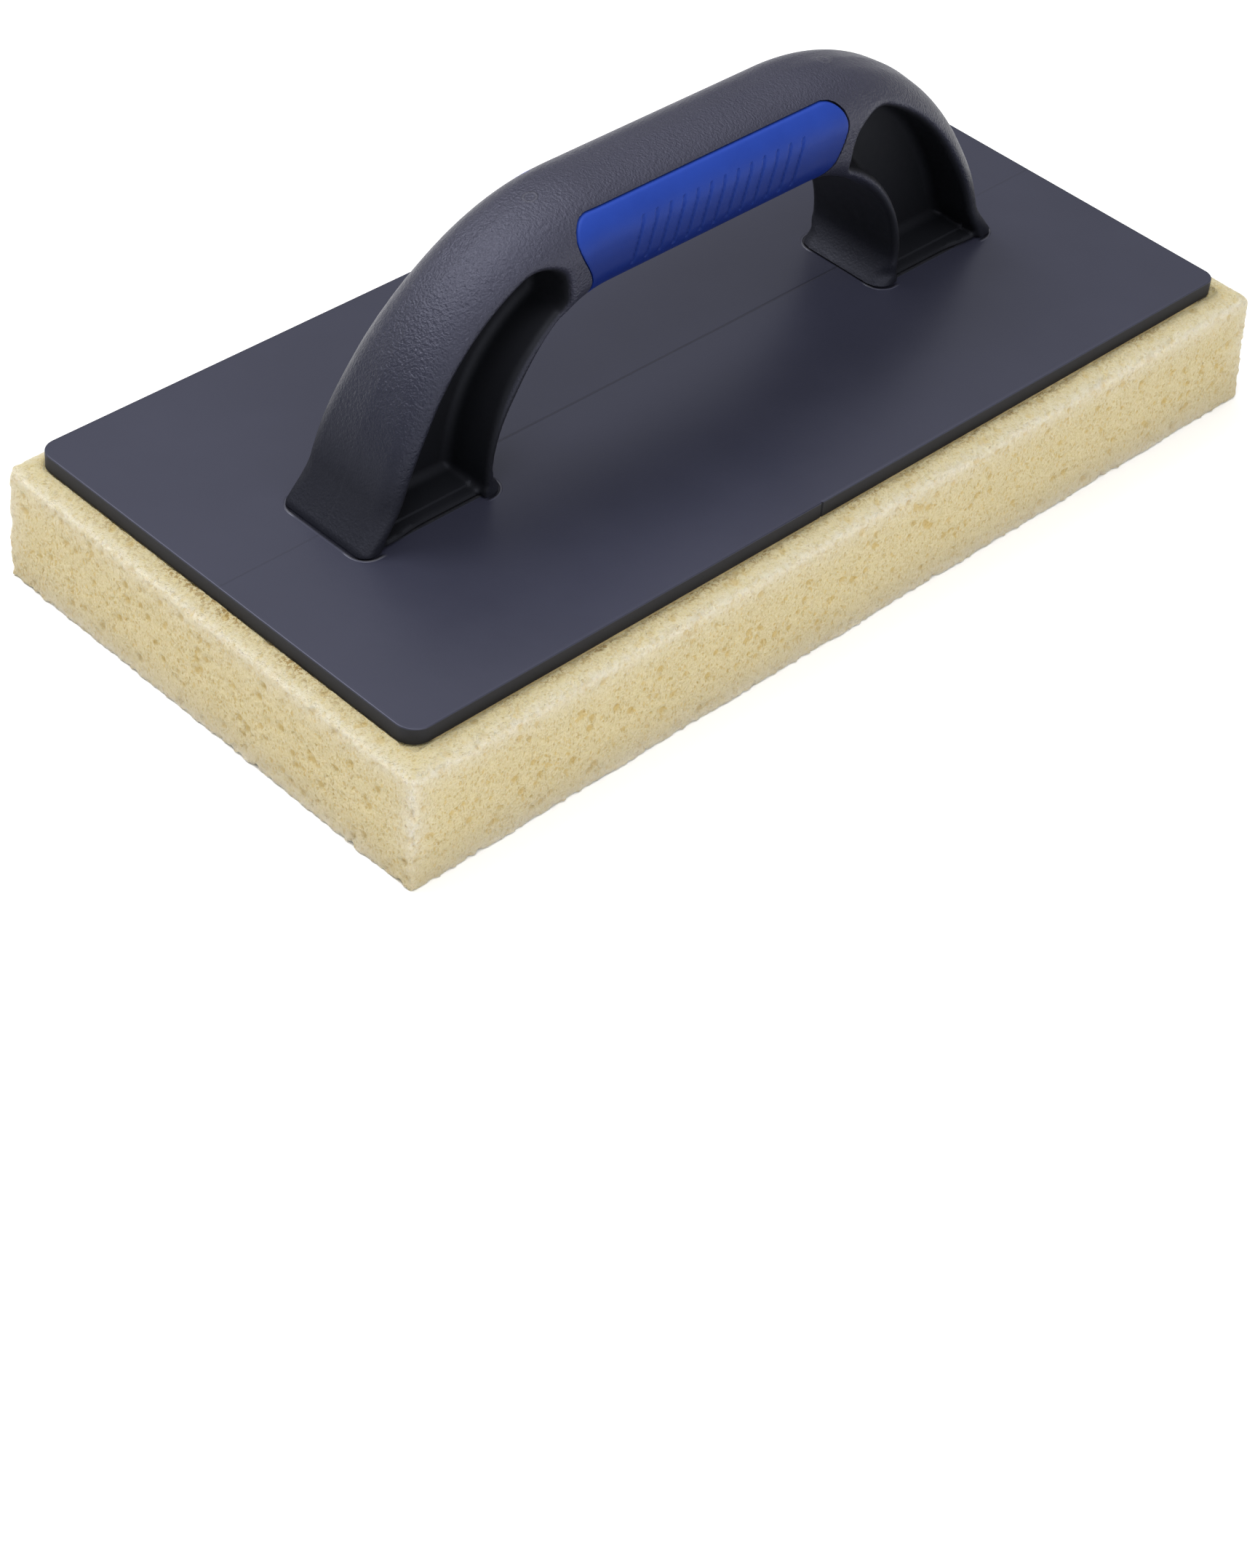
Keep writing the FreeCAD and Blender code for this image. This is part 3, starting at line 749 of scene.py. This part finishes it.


def handle_material():
    """Charcoal moulded plastic: leathery grain outside, smooth recesses, a mould line and gate rings; painted
    darker low down, and nearly black as shade in the recesses and inside the legs.
    """
    g = Graph("charcoal_plastic")
    grain_cells, _ = g.cells(0.78, feature="SMOOTH_F1")
    grain = g.plus(g.times(g.noise(0.50, 2.0, 0.6), 0.80), g.times(grain_cells, 0.5))
    grain = g.plus(grain, g.times(g.noise(0.28, 1.0), 0.12))
    crown = g.attribute("crown")
    line = g.times(near(g, g.axis("Y"), 0.35), crown)
    from_ring = g.length(g.minus(g.math("ABSOLUTE", g.axis("X")), RING_X), g.axis("Y"))
    ring = g.times(near(g, g.minus(from_ring, RING_RADIUS), 0.45), crown)
    marks = g.math("MAXIMUM", g.times(line, 0.10), ring)
    skin = g.attribute("skin")
    g.bump(g.plus(g.times(grain, skin), g.times(marks, 0.4)), 0.33)
    cloud = g.noise(22.0, 3.0)
    # Painted shade: the plastic is painted darker the lower it is on the handle.
    high = g.ramp(g.axis("Z"), 58.0, 99.0)
    body = g.mix(cloud, (0.0250, 0.0252, 0.040), (0.0315, 0.0318, 0.049))
    body = g.mix(high, (0.0068, 0.0078, 0.0155), body)
    # Painted shade: where "skin" falls, in the recesses, low on the legs and inside them, the colour goes
    # nearly black.
    body = g.mix(skin, (0.003, 0.0033, 0.0045), body)
    colour = g.mix(g.times(marks, 0.30), body, (0.085, 0.085, 0.098))
    roughness = g.plus(g.times(g.noise(3.0, 3.0), 0.10), g.ramp(skin, 0.0, 1.0, 0.56, 0.34))
    # Painted shade in the reflections: they are dimmed where "skin" falls, in the recesses.
    tint = g.mix(g.ramp(skin, 0.0, 0.3), (0.50, 0.52, 0.62), (0.78, 0.80, 1.0))
    return g.set(Base_Color=colour, Roughness=roughness, Specular_IOR_Level=0.45, Specular_Tint=tint)


def insert_material():
    """Royal blue soft-touch rubber with a very fine matt skin, painted lighter high on the grip and darker
    low on it, as light and shade.
    """
    g = Graph("blue_rubber")
    g.bump(g.plus(g.noise(0.35, 2.0), g.times(g.noise(2.5, 2.0), 0.6)), 0.035)
    lightening = g.noise(9.0, 4.0, 0.6)
    # Painted light and shade: the blue is painted lighter high on the grip, where the top light falls, and
    # darker low on it, as shade.
    upper = g.mix(lightening, (0.0125, 0.036, 0.235), (0.0165, 0.048, 0.300))
    lower = g.mix(lightening, (0.0018, 0.010, 0.102), (0.003, 0.016, 0.132))
    colour = g.mix(g.ramp(g.axis("Z"), 83.0, 98.0), lower, upper)
    roughness = g.plus(g.times(g.noise(4.0, 3.0), 0.12), 0.38)
    g.set(Specular_IOR_Level=0.2, Specular_Tint=(0.5, 0.65, 1.0))
    return g.set(Base_Color=colour, Roughness=roughness)


def foot_marks(g):
    """Masks of the painted shadow line, dark, round the ends of each foot, and of the bead of melt just
    outside it.
    """
    from_middle = g.math("ABSOLUTE", g.minus(g.math("ABSOLUTE", g.axis("X")), FOOT_MIDDLE))
    beyond_x = g.minus(from_middle, FOOT_CORE[0])
    beyond_y = g.minus(g.math("ABSOLUTE", g.axis("Y")), FOOT_CORE[1])
    distance = g.length(g.math("MAXIMUM", beyond_x, 0.0), g.math("MAXIMUM", beyond_y, 0.0))
    at_foot_ends = g.ramp(beyond_x, -2.5, -0.5)
    foot_shadow = g.times(near(g, g.minus(distance, FOOT_SHADOW_OUT), 0.50), at_foot_ends)
    bead = g.times(near(g, g.minus(distance, BEAD_OUT), 0.40), at_foot_ends)
    return foot_shadow, g.times(bead, g.ramp(beyond_y, -2.5, 0.3, 0.15, 1.0))


def plate_material():
    """Slate-blue satin sheet: a faint line along its middle, hair scratches, a painted shadow line and a bead
    with a painted highlight round the feet, and sides painted darker as shade.
    """
    g = Graph("slate_plastic")
    x, y = g.axis("X"), g.axis("Y")
    wander = g.times(g.minus(g.noise(60.0, 1.0), 0.5), 0.8)
    line = near(g, g.plus(y, wander), 0.35)
    line = g.times(line, g.ramp(g.math("ABSOLUTE", x), 60.0, 100.0, 0.8, 0.35))
    stretched = g.scaled(g.place, (0.055, 1.1, 1.0))
    hairs, chance = g.cells(1.9, vector=stretched)
    scratch = g.times(g.ramp(hairs, 0.05, 0.02), g.math("GREATER_THAN", chance, 0.93))
    marks = g.math("MAXIMUM", g.times(line, 0.9), g.times(scratch, 0.5))
    foot_shadow, bead = foot_marks(g)
    texture = g.plus(g.times(g.noise(0.5, 2.0), 0.25), g.times(g.noise(14.0, 2.0), 1.2))
    g.bump(g.plus(g.minus(texture, marks), g.times(bead, 2.5)), 0.05)
    cloud = g.noise(35.0, 4.0, 0.55)
    body = g.mix(cloud, (0.0195, 0.0205, 0.034), (0.0255, 0.0265, 0.043))
    # side is 1 on the sheet's sides, which are painted darker as shade and made rougher.
    side = g.ramp(g.axis("Z"), PLATE_HIGH[2] - 0.12, PLATE_HIGH[2] - 0.4)
    body = g.mix(side, body, (0.007, 0.007, 0.0065))
    colour = g.mix(g.times(marks, 0.8), body, (0.010, 0.010, 0.014))
    # Painted shadow: a near-black line on the plate round the ends of each foot, where the foot's edge stands
    # off the plate.
    colour = g.mix(g.times(foot_shadow, 0.85), colour, (0.002, 0.002, 0.003))
    # Painted highlight: the bead of melt, bumped in the surface, is also painted light in patches along it.
    bead_highlight = g.times(bead, g.ramp(g.noise(7.0, 2.0), 0.40, 0.62, 0.08, 0.60))
    colour = g.mix(bead_highlight, colour, (0.09, 0.09, 0.10))
    dust = g.ramp(g.noise(1.3, 4.0, 0.7), 0.62, 0.78)
    roughness = g.plus(g.times(dust, 0.10), g.times(cloud, 0.12))
    roughness = g.plus(roughness, g.plus(g.times(side, 0.3), 0.29))
    return g.set(Base_Color=colour, Roughness=roughness, Specular_Tint=(0.78, 0.80, 1.0))


def foam_pores(g):
    """Masks of the pores that the foam is full of: large ones, medium ones and small ones."""
    upright = g.scaled(g.place, (1.0, 1.0, 0.62))
    warp = g.node("ShaderNodeTexNoise")
    g.feed(warp.inputs["Vector"], upright)
    g.feed(warp.inputs["Scale"], 0.9)
    bent = g.node("ShaderNodeVectorMath", operation="ADD")
    g.feed(bent.inputs[0], upright)
    g.feed(bent.inputs[1], g.scaled(warp.outputs["Color"], 0.6))
    spot, chance = g.cells(1.35, vector=bent.outputs[0])
    large = g.times(g.ramp(spot, 0.36, 0.20), g.ramp(chance, 0.60, 0.75))
    spot, chance = g.cells(0.85, vector=bent.outputs[0])
    medium = g.times(g.ramp(spot, 0.42, 0.20), g.ramp(chance, 0.30, 0.6))
    spot, _ = g.cells(0.48, vector=bent.outputs[0])
    return large, medium, g.ramp(spot, 0.50, 0.20)


def painted_light_and_specks(g, colour):
    """The foam's colour with its edges painted paler as highlight, its faces painted in shade, dark brown
    specks beside the plate, and painted shade in the slits.
    """
    # Painted highlight: paler colour along the edges.
    pale = g.times(g.attribute("edge"), g.ramp(g.noise(1.4, 3.0), 0.25, 0.65, 0.30, 0.80))
    colour = g.mix(pale, colour, (0.74, 0.70, 0.60))
    colour = g.mix(g.times(g.attribute("top"), 0.32), colour, (0.23, 0.20, 0.07))
    colour = g.mix(g.times(g.attribute("low"), 0.25), colour, (0.25, 0.20, 0.12))
    # Dark brown specks on the foam's top beside the plate.
    dark_specks = g.times(g.attribute("ring"), g.ramp(g.noise(1.0, 3.0, 0.7), 0.49, 0.57))
    dark_specks = g.times(dark_specks, g.ramp(g.noise(11.0, 2.0), 0.36, 0.60, 0.35, 1.0))
    colour = g.mix(g.times(dark_specks, 0.85), colour, (0.25, 0.155, 0.035))
    # Painted shade: the foam is darker inside the slits, most where they gape.
    return g.mix(g.times(g.attribute("slit"), 0.55), colour, (0.30, 0.24, 0.10))


def sponge_material():
    """Cream open-cell foam: ochre pores in three sizes, edges painted paler as highlight, a greener face
    underneath.
    """
    g = Graph("cream_foam")
    large, medium, small = foam_pores(g)
    cloud = g.noise(9.0, 4.0, 0.6)
    speckle = g.noise(0.6, 4.0, 0.75)
    side = g.mix(cloud, (0.560, 0.464, 0.238), (0.618, 0.525, 0.297))
    face = g.mix(cloud, (0.57, 0.483, 0.210), (0.63, 0.545, 0.270))
    colour = g.mix(g.attribute("under"), side, face)
    colour = g.mix(g.ramp(speckle, 0.36, 0.72, 0.0, 0.55), colour, (0.75, 0.665, 0.45))
    colour = g.mix(g.times(small, 0.34), colour, (0.47, 0.34, 0.13))
    colour = g.mix(g.times(medium, 0.52), colour, (0.50, 0.34, 0.09))
    # Painted shade: the open pits cut in the mesh, and the large pores, are painted darker ochre as the shade
    # in them.
    deep = g.math("MAXIMUM", g.times(large, 0.8), g.ramp(g.attribute("pore"), 0.32, 0.90))
    colour = g.mix(g.times(deep, 0.55), colour, (0.56, 0.37, 0.08))
    pits = g.plus(g.plus(g.times(large, 0.35), g.times(medium, 0.45)), g.times(small, 0.30))
    g.bump(g.minus(speckle, pits), 0.55, 0.9)
    g.set(Subsurface_Weight=0.35, Subsurface_Radius=(1.0, 0.75, 0.4), Subsurface_Scale=1.2 * MM)
    g.set(Roughness=0.92, Specular_IOR_Level=0.15, Sheen_Weight=0.1)
    return g.set(Base_Color=painted_light_and_specks(g, colour))


def glue_material():
    """Yellowed contact adhesive with small bubbles."""
    g = Graph("contact_adhesive")
    bubbles, _ = g.cells(1.4)
    g.bump(g.ramp(bubbles, 0.1, 0.5), 0.08)
    colour = g.mix(g.noise(3.0, 3.0), (0.52, 0.40, 0.20), (0.66, 0.56, 0.34))
    return g.set(Base_Color=colour, Roughness=g.ramp(bubbles, 0.0, 0.6, 0.25, 0.45))


def bond_material():
    """Dark weld line under the feet, slightly glossy where it was molten."""
    g = Graph("weld_line")
    g.bump(g.noise(0.6, 3.0), 0.06)
    colour = g.mix(g.noise(1.5, 3.0), (0.010, 0.011, 0.014), (0.022, 0.023, 0.028))
    return g.set(Base_Color=colour, Roughness=g.ramp(g.noise(1.1, 2.0), 0.3, 0.7, 0.28, 0.5))


def floor_material():
    """White matt sweep."""
    g = Graph("white_sweep")
    colour = g.mix(g.noise(180.0, 3.0), (0.90, 0.90, 0.90), (0.93, 0.93, 0.93))
    return g.set(Base_Color=colour, Roughness=0.9, Specular_IOR_Level=0.1)


# ---------------------------------------------------------------- stage

def aim(thing, place, target, roll=0.0):
    """Points a camera or light at a target, turned about its own view line by roll radians."""
    back = (Vector(place) - Vector(target)).normalized()
    right = Vector((0, 0, 1)).cross(back).normalized()
    up = back.cross(right)
    turned_right = right * math.cos(roll) + up * math.sin(roll)
    turned_up = up * math.cos(roll) - right * math.sin(roll)
    axes = Matrix((turned_right, turned_up, back)).transposed().to_4x4()
    thing.matrix_world = Matrix.Translation(place) @ axes


CAMERA_AZIMUTH, CAMERA_ELEVATION, CAMERA_ROLL = (math.radians(angle) for angle in (-48.19, 42.25, 5.64))
CAMERA_TARGET, CAMERA_DISTANCE = (-105.5, -97.7, 30.0), 724.8
CAMERA_LENS, CAMERA_SENSOR = 79.8, 36.0


def make_camera():
    """Camera over the float's near left corner, looking down at about 42 degrees."""
    data = bpy.data.cameras.new("camera")
    data.sensor_width = CAMERA_SENSOR
    data.lens = CAMERA_LENS
    camera = bpy.data.objects.new("camera", data)
    bpy.context.scene.collection.objects.link(camera)
    level = math.cos(CAMERA_ELEVATION)
    back = Vector((math.sin(CAMERA_AZIMUTH) * level, -math.cos(CAMERA_AZIMUTH) * level,
                   math.sin(CAMERA_ELEVATION)))
    target = Vector(CAMERA_TARGET) * MM
    aim(camera, target + back * CAMERA_DISTANCE * MM, target, CAMERA_ROLL)
    bpy.context.scene.camera = camera


# Soft boxes: (name, place and size in metres, power in watts).
LIGHTS = [
    ("front_soft_box", (-0.35, -1.7, 0.8), 1.4, 11.5),
    ("top_soft_box", (-0.36, -0.30, 1.2), 0.38, 5.5),
    ("back_soft_box", (-0.45, 0.8, 1.35), 0.8, 17.0),
]


def make_light(name, place, size, power):
    """Square soft light aimed at the float."""
    data = bpy.data.lights.new(name, "AREA")
    data.shape = "SQUARE"
    data.size = size
    data.energy = power
    light = bpy.data.objects.new(name, data)
    bpy.context.scene.collection.objects.link(light)
    aim(light, Vector(place), Vector((0.0, 0.0, 0.04)))


def sky_ramp(tree, part, start, end, low, high, interpolation="LINEAR"):
    """The sky's strength, from low to high as one part of the direction goes from start to end."""
    made = tree.nodes.new("ShaderNodeMapRange")
    made.interpolation_type = interpolation
    settings = (("From Min", start), ("From Max", end), ("To Min", low), ("To Max", high))
    for name, value in settings:
        made.inputs[name].default_value = value
    tree.links.new(part, made.inputs["Value"])
    return made.outputs["Result"]


def make_world():
    """Bright overhead sky, as under a large soft box, dimmer towards the horizon, the left and the right."""
    world = bpy.data.worlds.new("studio")
    bpy.context.scene.world = world
    world.use_nodes = True
    tree = world.node_tree
    split = tree.nodes.new("ShaderNodeSeparateXYZ")
    tree.links.new(tree.nodes.new("ShaderNodeTexCoord").outputs["Generated"], split.inputs[0])
    strength = sky_ramp(tree, split.outputs["Z"], 0.44, 0.74, 0.22, 1.26, "SMOOTHSTEP")
    for sideways in ((-0.8, 0.1, 0.72, 1.0), (0.60, 0.95, 1.0, 0.60)):
        product = tree.nodes.new("ShaderNodeMath")
        product.operation = "MULTIPLY"
        tree.links.new(strength, product.inputs[0])
        tree.links.new(sky_ramp(tree, split.outputs["X"], *sideways), product.inputs[1])
        strength = product.outputs["Value"]
    sky = tree.nodes["Background"]
    sky.inputs["Color"].default_value = (1.0, 1.0, 1.0, 1.0)
    tree.links.new(strength, sky.inputs["Strength"])


FLOOR_HALF, FLOOR_LINES = 9000.0, 24   # half the floor's side, and the lines that rule it each way


def make_floor():
    """White floor, wide enough to fill the view from any side."""
    rule = np.linspace(-FLOOR_HALF, FLOOR_HALF, FLOOR_LINES)
    x, y = np.meshgrid(rule, rule, indexing="ij")
    points = np.stack([x.ravel(), y.ravel(), np.zeros(x.size)], axis=1)
    floor = make_piece("floor", points, grid_quads(0, FLOOR_LINES, FLOOR_LINES, flip=False))
    floor.data.materials.append(floor_material())


def build():
    """Makes every piece, gives it its material and ties it to the frame."""
    pieces = [
        (make_handle(), "handle", "handle_plastic", handle_material()),
        (make_insert(), "grip_insert", "grip_rubber", insert_material()),
        (make_plate(), "backing_plate", "plate_plastic", plate_material()),
        (make_sponge(), "sponge_pad", "sponge_foam", sponge_material()),
    ]
    for piece, node, slot, material in pieces:
        piece.data.materials.append(material)
        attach(piece, "root")
        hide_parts(node)
    hidden = {"sponge_adhesive": glue_material(), "left_foot_bond": bond_material()}
    hidden["right_foot_bond"] = hidden["left_foot_bond"]
    for node, material in hidden.items():
        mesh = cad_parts[node].data
        mesh.materials.clear()
        mesh.materials.append(material)


build()
make_floor()
make_world()
for soft_box in LIGHTS:
    make_light(*soft_box)
make_camera()
bpy.context.scene.view_settings.view_transform = "Standard"
